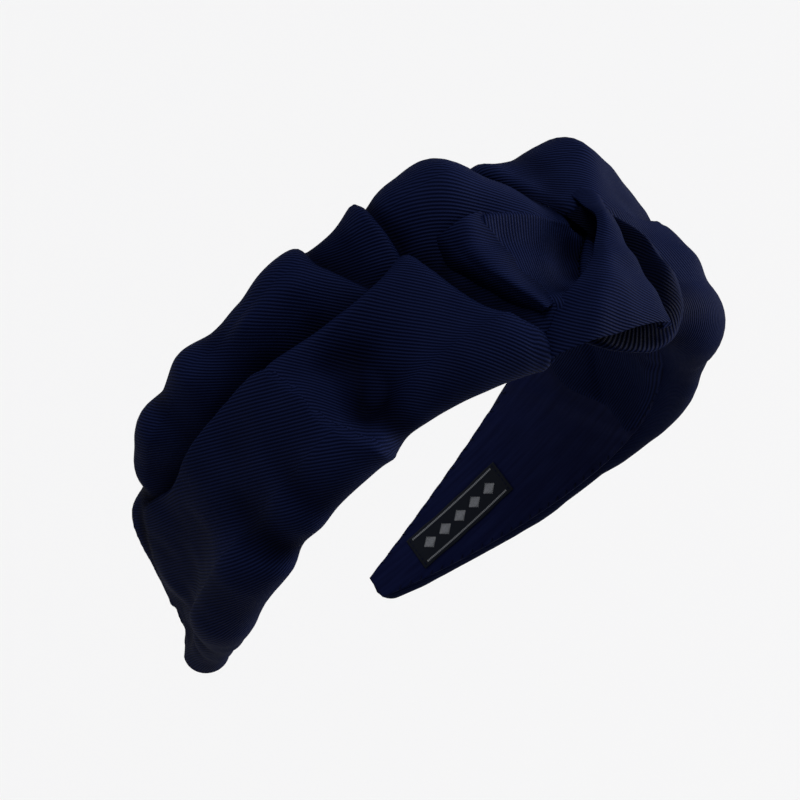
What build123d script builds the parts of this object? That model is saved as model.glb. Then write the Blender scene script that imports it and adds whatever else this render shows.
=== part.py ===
"""Knotted, ruched headband: a springy plastic hoop, padded with foam, lined inside and wrapped in cloth.

Millimetres, +Z up, +X to one side of the head and +Y across the band's width. The origin is where the band
sits on top of the head: the middle of the lining's inner face. The left arm is at -X, the right arm at +X.

The hoop is one moulding that bends. It is divided here at two flex lines, and each arm turns about its own.
"""

import os
from math import cos, radians, sin, tan

from build123d import *

os.makedirs("parts", exist_ok=True)

# The hoop's line, seen from the front, is the lining's inner face. Angles are in degrees from straight up.
CROWN_RADIUS = 63.0  # over the head
CROWN_TURN = 100.0  # where the crown's arc passes into the arm's
ARM_RADIUS = 175.0  # down behind the ear
ARM_TURN = 26.0  # the arm's arc, to its tip
FLEX_AT = 45.0  # the two lines that the arms turn about

# Thickness of each layer, from the head outwards
LINING_THICK = 0.6
TAPE_THICK = 0.2
HOOP_THICK = 2.0
FOAM_THICK = 4.0

# The lining's half width: at the tip, and over the crown, which it reaches at a height above the tip
TIP_HALF = 4.0
CROWN_HALF = 22.8
TAPER_UP = 105.0
TAPER_POWER = 1.82
TAPER_POINTS = 6
HOOP_INSET = 1.0  # the plastic's edge stands in from the lining's, to leave room for the turned cloth
FOAM_INSET = 1.6
TAPE_INSET = 2.5
CLOTH_SPARE = 0.1  # between the stacked layers and the cloth round them

# How far an arm turns outwards, and the notch that lets it
SPREAD_MAX = 18.0
SPREAD_SPARE = 0.8  # degrees left over at full spread
FLEX_GAP = 0.5
NOTCH_SPARE = 12.0  # how far it runs on beyond the highest cloth

# The cloth is two rolls with a pleat between them. Each section is how far it stands out beyond the lining's
# edge and above the foam, and the pleat's place as a share of its half width. The sections stand at distances
# up from the plastic's tip, and then at headings.
CLOTH_PAST_TIP = 2.0
LEFT_ARM_CLOTH = [
    (-CLOTH_PAST_TIP, 1.5, 0.8, 0.0),
    (14.0, 4.7, 3.7, 0.25),
    (38.0, 7.5, 8.2, 0.3),
    (66.0, 7.3, 10.7, 0.25),
]
LEFT_CROWN_CLOTH = [(80.0, 5.7, 11.7, 0.2), (50.0, 5.7, 12.7, 0.3), (20.0, 5.2, 12.7, 0.35)]
RIGHT_ARM_CLOTH = [
    (-CLOTH_PAST_TIP, 1.2, 0.8, 0.0),
    (14.0, 1.6, 2.7, 0.1),
    (38.0, 2.2, 5.2, 0.0),
    (66.0, 2.8, 8.2, -0.15),
]
RIGHT_CROWN_CLOTH = [(80.0, 5.2, 12.7, -0.25), (50.0, 7.2, 15.2, -0.3)]
RIGHT_CLOTH_AT_KNOT = (7.7, 15.2, -0.3)

# The knot is a loop over the crown, which squeezes a bundle of the left cloth. Its sections are at headings.
LOOP_CLOTH = [(-8.0, 7.2, 14.7, 0.0), (5.0, 8.7, 17.2, 0.1), (18.0, 8.2, 16.2, 0.2)]
BUNDLE = (3.2, 9.7, 0.3)

# The woven label on the right arm's lining, and the thread along its two short ends
LABEL_LENGTH, LABEL_WIDTH, LABEL_THICK = 38.0, 11.0, 0.4
LABEL_UP = 35.0  # its middle, up from the plastic's tip
LABEL_MARGIN = 1.2
LABEL_STITCHES = 3  # at each end
THREAD = 0.45
THREAD_FLAT = 0.25  # how high a sewn thread stands
THREAD_SPARE = 0.02  # below it, because the face that it lies on is curved
STITCH_LONG = 2.4

# The slip stitches that close the lining's edges to the cloth
HEM_FIRST = 6.0
HEM_PITCH = 7.5
HEM_TILT = 35.0

# Heights of the layers above the inner face
hoop_low = LINING_THICK + TAPE_THICK
foam_low = hoop_low + HOOP_THICK
stack_top = foam_low + FOAM_THICK
pivot_high = hoop_low + HOOP_THICK / 2
notch_reach = stack_top + max(above for _, _, above, _ in LEFT_CROWN_CLOTH + RIGHT_CROWN_CLOTH) + NOTCH_SPARE

end_turn = CROWN_TURN + ARM_TURN
crown_length = CROWN_RADIUS * radians(CROWN_TURN)
arm_length = ARM_RADIUS * radians(ARM_TURN)
half_length = crown_length + arm_length

# The arm's arc meets the crown's on a line through both centres.
centres_apart = CROWN_RADIUS - ARM_RADIUS
crown_centre_z = -CROWN_RADIUS
arm_centre_z = crown_centre_z + centres_apart * cos(radians(CROWN_TURN))
arm_centre_x = centres_apart * sin(radians(CROWN_TURN))


def spot(turn, height, side):
    """(x, z) of a point at a heading and a height above the inner face, on the right (1) or left (-1)."""
    if turn <= CROWN_TURN:
        radius, centre_x, centre_z = CROWN_RADIUS + height, 0.0, crown_centre_z
    else:
        radius, centre_x, centre_z = ARM_RADIUS + height, arm_centre_x, arm_centre_z
    return side * (centre_x + radius * sin(radians(turn))), centre_z + radius * cos(radians(turn))


def turn_at(up):
    """The heading at a distance up from the tip, along the inner face."""
    if up <= arm_length:
        return end_turn - up / ARM_RADIUS / radians(1)
    return (half_length - up) / CROWN_RADIUS / radians(1)


def section_plane(turn, side):
    """The plane across the band at a heading: its x is across the width, and its y is away from the head."""
    x, z = spot(turn, 0.0, side)
    return Plane(origin=(x, 0, z), x_dir=(0, 1, 0), z_dir=(cos(radians(turn)), 0, -side * sin(radians(turn))))


def face_plane(turn, side, height, y):
    """The plane that lies on the band at a heading: its x is across the width, its z points at the head."""
    x, z = spot(turn, height, side)
    inwards = (-side * sin(radians(turn)), 0, -cos(radians(turn)))
    return Plane(origin=(x, y, z), x_dir=(0, 1, 0), z_dir=inwards)


tip_z = spot(end_turn, 0.0, 1)[1]


def half_width(z):
    """The lining's half width at a height z."""
    left_to_rise = max(0.0, 1 - (z - tip_z) / TAPER_UP)
    return CROWN_HALF - (CROWN_HALF - TIP_HALF) * left_to_rise**TAPER_POWER


def side_outline(low, high):
    """The whole hoop between two heights above its inner face, seen from the front."""
    with BuildSketch(Plane.XZ) as outline:
        with BuildLine():
            for height in (low, high):
                crown = CROWN_RADIUS + height
                arm = ARM_RADIUS + height
                CenterArc((0, crown_centre_z), crown, 90 - CROWN_TURN, 2 * CROWN_TURN)
                CenterArc((arm_centre_x, arm_centre_z), arm, 90 - end_turn, ARM_TURN)
                CenterArc((-arm_centre_x, arm_centre_z), arm, 90 + CROWN_TURN, ARM_TURN)
            for side in (-1, 1):
                Line(spot(end_turn, low, side), spot(end_turn, high, side))
        make_face()
    return outline.sketch


def width_outline(inset):
    """The band's width against height, seen from the side, less an inset along both edges."""
    tapers = [tip_z + TAPER_UP * step / (TAPER_POINTS - 1) for step in range(TAPER_POINTS)]
    bottom, top = tip_z - 2 * stack_top, 2 * stack_top
    with BuildSketch(Plane.YZ) as outline:
        with BuildLine():
            for side in (-1, 1):
                edge = Spline(*[(side * (half_width(z) - inset), z) for z in tapers])
                Line(edge @ 0, (side * (TIP_HALF - inset), bottom))
                Line(edge @ 1, (side * (CROWN_HALF - inset), top))
            Line((inset - TIP_HALF, bottom), (TIP_HALF - inset, bottom))
            Line((inset - CROWN_HALF, top), (CROWN_HALF - inset, top))
        make_face()
    return outline.sketch


def notch_outline(side):
    """The notch at a flex line: a thin slit through the hoop that opens outwards by the arm's spread."""
    x, z = spot(FLEX_AT, pivot_high, side)
    out = (side * sin(radians(FLEX_AT)), cos(radians(FLEX_AT)))
    along = (side * cos(radians(FLEX_AT)), -sin(radians(FLEX_AT)))
    mouth = notch_reach * tan(radians(SPREAD_MAX + SPREAD_SPARE))
    corners = [
        (-2 * pivot_high, -FLEX_GAP / 2),
        (-2 * pivot_high, FLEX_GAP / 2),
        (0, FLEX_GAP / 2),
        (notch_reach, FLEX_GAP / 2 + mouth),
        (notch_reach, -FLEX_GAP / 2),
    ]
    with BuildSketch(Plane.XZ) as outline:
        with BuildLine():
            points = [(x + a * out[0] + b * along[0], z + a * out[1] + b * along[1]) for a, b in corners]
            Polyline(*points, close=True)
        make_face()
    return outline.sketch


def cloth_section(plane, beyond_edge, above_foam, pleat):
    """Two rolls of cloth side by side over the band, with the pleat between them."""
    half = half_width(plane.origin.Z) + beyond_edge
    height = stack_top + above_foam
    foot, shoulder = 0.93 * half, 0.88 * half
    edge_high, shoulder_high, pleat_high = 0.36 * height, 0.7 * height, 0.84 * height
    with BuildSketch(plane) as outline:
        with BuildLine():
            Line((-foot, 0), (foot, 0))
            ThreePointArc((foot, 0), (half, edge_high), (shoulder, shoulder_high))
            back_top = ((shoulder + pleat * half) / 2, height)
            front_top = ((pleat * half - shoulder) / 2, height)
            ThreePointArc((shoulder, shoulder_high), back_top, (pleat * half, pleat_high))
            ThreePointArc((pleat * half, pleat_high), front_top, (-shoulder, shoulder_high))
            ThreePointArc((-shoulder, shoulder_high), (-half, edge_high), (-foot, 0))
        make_face()
    return outline.sketch


def cloth_loft(side, arm, crown):
    """The sections of one side's cloth, from its tip to the crown."""
    placed = [(turn_at(up), *size) for up, *size in arm] + crown
    return [cloth_section(section_plane(turn, side), *size) for turn, *size in placed]


def stitch(plane, tilt=0.0):
    """The outline of one stitch that lies on a plane, tilted from its x."""
    with BuildSketch(plane) as outline:
        SlotOverall(STITCH_LONG, THREAD, rotation=tilt)
    return outline.sketch


def write(shape, name):
    """Labels a finished piece and writes it under its own name."""
    shape.label = name
    export_step(shape, f"parts/{name}.step")


def write_bodies(part, name, places=("left_arm", "crown", "right_arm")):
    """Writes one piece's solids, from left to right, each named after the body that carries it."""
    for solid, place in zip(part.solids().sort_by(Axis.X), places, strict=True):
        write(solid, f"{name}_{place}")


# The stacked layers: lining, tape, plastic hoop and foam

with BuildPart() as notches:
    for side in (-1, 1):
        extrude(notch_outline(side), amount=2 * CROWN_HALF, both=True)

layers = {
    "lining": (0.0, LINING_THICK, 0.0),
    "lining_tape": (LINING_THICK, hoop_low, TAPE_INSET),
    "hoop": (hoop_low, foam_low, HOOP_INSET),
    "foam": (foam_low, stack_top, FOAM_INSET),
}
for name, (low, high, inset) in layers.items():
    with BuildPart() as layer:
        extrude(side_outline(low, high), amount=CROWN_HALF, both=True)
        extrude(width_outline(inset), amount=2 * CROWN_RADIUS, both=True, mode=Mode.INTERSECT)
        add(notches.part, mode=Mode.SUBTRACT)
    write_bodies(layer.part, name)

with BuildPart() as head_and_layers:
    # What the cloth stays out of: the layers' room, and all that is inside the lining's inner face
    extrude(side_outline(-stack_top, stack_top + CLOTH_SPARE), amount=2 * CROWN_HALF, both=True)
    extrude(width_outline(-CLOTH_SPARE), amount=2 * CROWN_RADIUS, both=True, mode=Mode.INTERSECT)
    extrude(side_outline(-stack_top, 0.0), amount=2 * CROWN_HALF, both=True)

# The pleated cloth. The left strip runs on under the knot's loop, and the right strip ends against the knot.

loop_from, loop_to = LOOP_CLOTH[0][0], LOOP_CLOTH[-1][0]
crown_axis = Axis((0, 0, crown_centre_z), (0, 1, 0))

with BuildPart() as left_cloth:
    bundle = cloth_section(section_plane(loop_from, 1), *BUNDLE)
    loft(cloth_loft(-1, LEFT_ARM_CLOTH, LEFT_CROWN_CLOTH) + [bundle])
    revolve(bundle, crown_axis, loop_to - loop_from)
    add(head_and_layers.part, mode=Mode.SUBTRACT)
    add(notches.part, mode=Mode.SUBTRACT)
write_bodies(left_cloth.part, "left_cloth", ("left_arm", "crown"))

with BuildPart() as right_cloth:
    at_knot = cloth_section(section_plane(loop_to, 1), *RIGHT_CLOTH_AT_KNOT)
    loft(cloth_loft(1, RIGHT_ARM_CLOTH, RIGHT_CROWN_CLOTH) + [at_knot])
    add(head_and_layers.part, mode=Mode.SUBTRACT)
    add(notches.part, mode=Mode.SUBTRACT)
write_bodies(right_cloth.part, "right_cloth", ("crown", "right_arm"))

with BuildPart() as knot_loop:
    beyond_edge, above_foam, pleat = BUNDLE
    roomier = (beyond_edge + CLOTH_SPARE, above_foam + CLOTH_SPARE, pleat)
    room = cloth_section(section_plane(loop_from, 1), *roomier)
    loft([cloth_section(section_plane(turn, 1), *size) for turn, *size in LOOP_CLOTH])
    revolve(room, crown_axis, loop_to - loop_from, mode=Mode.SUBTRACT)
    add(head_and_layers.part, mode=Mode.SUBTRACT)
write(knot_loop.part, "knot_loop")

# The label and the sewing

with BuildPart() as label:
    extrude(side_outline(-LABEL_THICK, 0.0), amount=LABEL_WIDTH / 2, both=True)
    with BuildSketch(section_plane(turn_at(LABEL_UP), 1)):
        Rectangle(LABEL_WIDTH, 2 * LABEL_WIDTH)
    extrude(amount=LABEL_LENGTH / 2, both=True, mode=Mode.INTERSECT)
write(label.part, "label")

with BuildPart() as label_stitches:
    for end in (-1, 1):
        turn = turn_at(LABEL_UP + end * (LABEL_LENGTH / 2 - LABEL_MARGIN))
        for count in range(LABEL_STITCHES):
            y = LABEL_WIDTH * ((count + 0.5) / LABEL_STITCHES - 0.5)
            extrude(stitch(face_plane(turn, 1, -LABEL_THICK - THREAD_SPARE, y)), amount=THREAD_FLAT)
write(label_stitches.part, "label_stitches")


def hem_stitches(side, first_up, last_up):
    """Slip stitches over both edges of the lining, between two distances up from the tip."""
    steps = int((last_up - first_up) / HEM_PITCH)
    with BuildPart() as stitches:
        for step in range(steps + 1):
            turn = turn_at(first_up + HEM_PITCH * step)
            edge = half_width(spot(turn, 0.0, side)[1])
            for across in (-1, 1):
                plane = face_plane(turn, side, -THREAD_SPARE, across * edge)
                extrude(stitch(plane, across * HEM_TILT), amount=THREAD_FLAT)
    return stitches.part


flex_up = half_length - CROWN_RADIUS * radians(FLEX_AT)
write(hem_stitches(-1, HEM_FIRST, flex_up - HEM_PITCH / 2), "hem_stitches_left_arm")
write(hem_stitches(1, HEM_FIRST, flex_up - HEM_PITCH / 2), "hem_stitches_right_arm")
other_flex_up = 2 * half_length - flex_up
write(hem_stitches(-1, flex_up + HEM_PITCH / 2, other_flex_up - HEM_PITCH / 2), "hem_stitches_crown")
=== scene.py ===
"""Finish for the knotted headband.

Gathered navy twill with its knot, a satin lining, a woven label, the sewing, the light and the camera.
"""

from math import cos, pi, radians, sin

import bpy
import numpy as np
from mathutils import Matrix, Vector


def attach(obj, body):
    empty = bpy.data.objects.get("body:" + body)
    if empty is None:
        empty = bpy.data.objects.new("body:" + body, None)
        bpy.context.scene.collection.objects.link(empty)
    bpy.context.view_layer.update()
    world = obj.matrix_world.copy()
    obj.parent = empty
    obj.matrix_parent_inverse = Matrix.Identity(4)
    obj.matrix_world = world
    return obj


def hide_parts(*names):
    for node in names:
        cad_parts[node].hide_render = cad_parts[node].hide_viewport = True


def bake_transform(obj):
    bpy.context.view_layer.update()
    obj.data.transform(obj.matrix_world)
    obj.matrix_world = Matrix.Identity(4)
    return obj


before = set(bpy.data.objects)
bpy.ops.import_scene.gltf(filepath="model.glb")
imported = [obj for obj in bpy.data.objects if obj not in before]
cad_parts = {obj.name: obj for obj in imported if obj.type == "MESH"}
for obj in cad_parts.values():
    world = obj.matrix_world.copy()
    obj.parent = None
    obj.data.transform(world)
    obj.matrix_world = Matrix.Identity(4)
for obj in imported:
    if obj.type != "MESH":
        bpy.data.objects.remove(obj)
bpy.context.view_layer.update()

# Shapes are worked out in millimetres and written to the meshes in metres.
MM = 0.001

# The hoop's line, which is the lining's inner face: a tight arc over the head, and an easier one down each
# side of it
CROWN_RADIUS, CROWN_TURN = 63.0, radians(100)
ARM_RADIUS, ARM_TURN = 175.0, radians(26)
CROWN_LENGTH = CROWN_RADIUS * CROWN_TURN
HALF_LENGTH = CROWN_LENGTH + ARM_RADIUS * ARM_TURN
END_TURN = CROWN_TURN + ARM_TURN
ARM_CENTRE_X = (CROWN_RADIUS - ARM_RADIUS) * sin(CROWN_TURN)
ARM_CENTRE_Z = -CROWN_RADIUS + (CROWN_RADIUS - ARM_RADIUS) * cos(CROWN_TURN)
FLEX_ALONG = CROWN_RADIUS * radians(45)  # where an arm springs, along the line from the top

# The lining's half width, from the tip up to the crown
TIP_HALF, CROWN_HALF = 4.0, 22.8
TAPER_UP, TAPER_POWER = 105.0, 1.82
TIP_Z = ARM_CENTRE_Z + ARM_RADIUS * cos(END_TURN)

# The cloth's plain section before it is gathered: flat on the foam, and turned round both edges to the hem
CLOTH_LOW, CLOTH_TOP = 0.3, 8.0
EDGE_IN = 3.0
EDGE_ROUND = (CLOTH_TOP - CLOTH_LOW) / 2
EDGE_HIGH = (CLOTH_TOP + CLOTH_LOW) / 2
HEM_DEEP = 1.5
CLOTH_THICK = 0.45
LEAST_RISE = -0.5  # the cloth can't go into the foam
MOST_RISE, MOST_DROP = 28.0, 14.0
LEAST_SHARE = 0.25  # of a fold's height, where it is worked out near the hem
PAST_TIP = 1.6
CLOSE_OVER = 4.0  # the cloth closes round the tip over this much of its end
CLOSED = 0.0004  # the square of what is left of its section at the very end
HOLD_OVER = 6.0  # the folds' slip dies away over this much of the end
ROWS, COLUMNS = 540, 144

OFF = 60.0  # a place across the band that is past the hem
LIP_TURN = radians(125)  # how far a rolled lip turns under
LIP_ROUND = 2.8  # how far it rolls out
LIP_REACH, LEAST_REACH = 1.25, 1.2  # how deep a lip is, as a share of its roll, and at least
LEAST_LIP = 0.05  # below this the cloth lies flat on what is under it
PULL_REACH = 1.5  # a lip pulls at least this much of the cloth round it
FOLD_ROUND = 8.0  # how far round its outline a fold is worked out
BASE_RISE = 0.6  # of the cloth that no fold covers
PLATE_SIZE, PLATE_EASE = 20.0, 0.02
SETTLE_KEEP = 0.5  # what each place keeps of its own value when a grid is evened out

# The slight unevenness all over the cloth
CRUMPLE_LENGTHS = (46, 31, 22, 15, 11, 8)
CRUMPLE_WAVES, CRUMPLE_POWER, CRUMPLE_HIGH = 3, 0.9, 0.0065
CRUMPLE_SEED = 5
SHEET_CRUMPLE = 2.0  # how much more uneven the free sheets are

# Painted shade in the cloth's hollows, which darkens its colour: by the shape close round each place, and by
# the shape farther round it
NEAR_TIMES, NEAR_DARK = 30, 0.6
FAR_TIMES, FAR_DARK = 240, 0.35
MOST_DARK = 1.5


# ---------------------------------------------------------------- the band's surface


def half_width(z):
    """The lining's half width at a height z."""
    left = np.maximum(0.0, 1 - (z - TIP_Z) / TAPER_UP)
    return CROWN_HALF - (CROWN_HALF - TIP_HALF) * left**TAPER_POWER


def spot(along, across, high):
    """Points on the band: along its line from the top (left is below zero), across it, and above its face."""
    side, far = np.sign(along) + (along == 0), np.abs(along)
    on_crown = far <= CROWN_LENGTH
    turn = np.where(on_crown, far / CROWN_RADIUS, CROWN_TURN + (far - CROWN_LENGTH) / ARM_RADIUS)
    radius = np.where(on_crown, CROWN_RADIUS, ARM_RADIUS) + high
    x = side * (np.where(on_crown, 0.0, ARM_CENTRE_X) + radius * np.sin(turn))
    z = np.where(on_crown, -CROWN_RADIUS, ARM_CENTRE_Z) + radius * np.cos(turn)
    return np.stack([x, across + 0 * x, z], -1)


def half_at(along):
    """The lining's half width at a place along the band."""
    return half_width(spot(np.asarray(along, float), 0.0, 0.0)[..., 2])


def edge_share(angle):
    """How much of a fold's height is left where the cloth turns round the edge."""
    return (1 + np.cos(angle)) / 2


def to_sheet(along, across, high):
    """Where a point of the gathered cloth is on the plain section: round the section, and risen from it."""
    if abs(across) >= OFF:
        return across, 0.0
    flat = float(half_at(along)) - EDGE_IN
    if abs(across) <= flat:
        return across, high - CLOTH_TOP
    out, up = abs(across) - flat, high - EDGE_HIGH
    angle = np.arctan2(out, up)
    rise = (np.hypot(out, up) - EDGE_ROUND) / max(edge_share(angle), LEAST_SHARE)
    return np.sign(across) * (flat + EDGE_ROUND * angle), rise


def from_sheet(along, round_section, rise):
    """Points of the cloth from their place round the plain section and their rise."""
    flat = half_at(along) - EDGE_IN
    far = np.abs(round_section)
    angle = np.clip((far - flat) / EDGE_ROUND, 0, pi)
    tucked = np.maximum(far - flat - pi * EDGE_ROUND, 0)
    out = EDGE_ROUND + rise * edge_share(angle)
    across = np.minimum(far, flat) + out * np.sin(angle) - tucked
    high = EDGE_HIGH + out * np.cos(angle)
    high = np.where(far <= flat, CLOTH_TOP + rise, high)
    # the end closes round the tip
    past = np.clip((np.abs(along) - HALF_LENGTH - PAST_TIP + CLOSE_OVER) / CLOSE_OVER, 0, 1)
    close = np.sqrt(np.maximum(1 - past**2, CLOSED))
    return spot(along, np.sign(round_section) * across * close, EDGE_HIGH + (high - EDGE_HIGH) * close)


# ---------------------------------------------------------------- folds


def rounded(outline):
    """A closed outline with its corners cut twice, so that they turn softly."""
    line = np.array(outline, float)
    for _ in range(2):
        after = np.roll(line, -1, axis=0)
        line = np.stack([0.75 * line + 0.25 * after, 0.25 * line + 0.75 * after], 1).reshape(-1, 2)
    return line


def depth_inside(x, y, outline):
    """How far each point is inside a closed outline, with points outside it below zero."""
    nearest = np.full(x.shape, 1e9)
    inside = np.zeros(x.shape, bool)
    for (ax, ay), (bx, by) in zip(outline, np.roll(outline, -1, axis=0)):
        ex, ey = bx - ax, by - ay
        share = np.clip(((x - ax) * ex + (y - ay) * ey) / (ex * ex + ey * ey + 1e-12), 0, 1)
        nearest = np.minimum(nearest, np.hypot(x - ax - share * ex, y - ay - share * ey))
        if ay != by:
            inside ^= ((ay > y) != (by > y)) & (x < ex * (y - ay) / (by - ay) + ax)
    return np.where(inside, nearest, -nearest)


def plate(places, values, x, y):
    """A springy plate through the given heights."""
    p = np.array(places, float) / PLATE_SIZE

    def bend(dx, dy):
        r2 = dx * dx + dy * dy
        return 0.5 * r2 * np.log(r2 + 1e-9)

    n = len(p)
    grid = bend(p[:, None, 0] - p[None, :, 0], p[:, None, 1] - p[None, :, 1]) + PLATE_EASE * np.eye(n)
    flat = np.column_stack([np.ones(n), p])
    full = np.block([[grid, flat], [flat.T, np.zeros((3, 3))]])
    weights = np.linalg.solve(full, np.concatenate([values, np.zeros(3)]))
    result = weights[n] + weights[n + 1] * x / PLATE_SIZE + weights[n + 2] * y / PLATE_SIZE
    for weight, (px, py) in zip(weights[:n], p):
        result = result + weight * bend(x / PLATE_SIZE - px, y / PLATE_SIZE - py)
    return result


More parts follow.
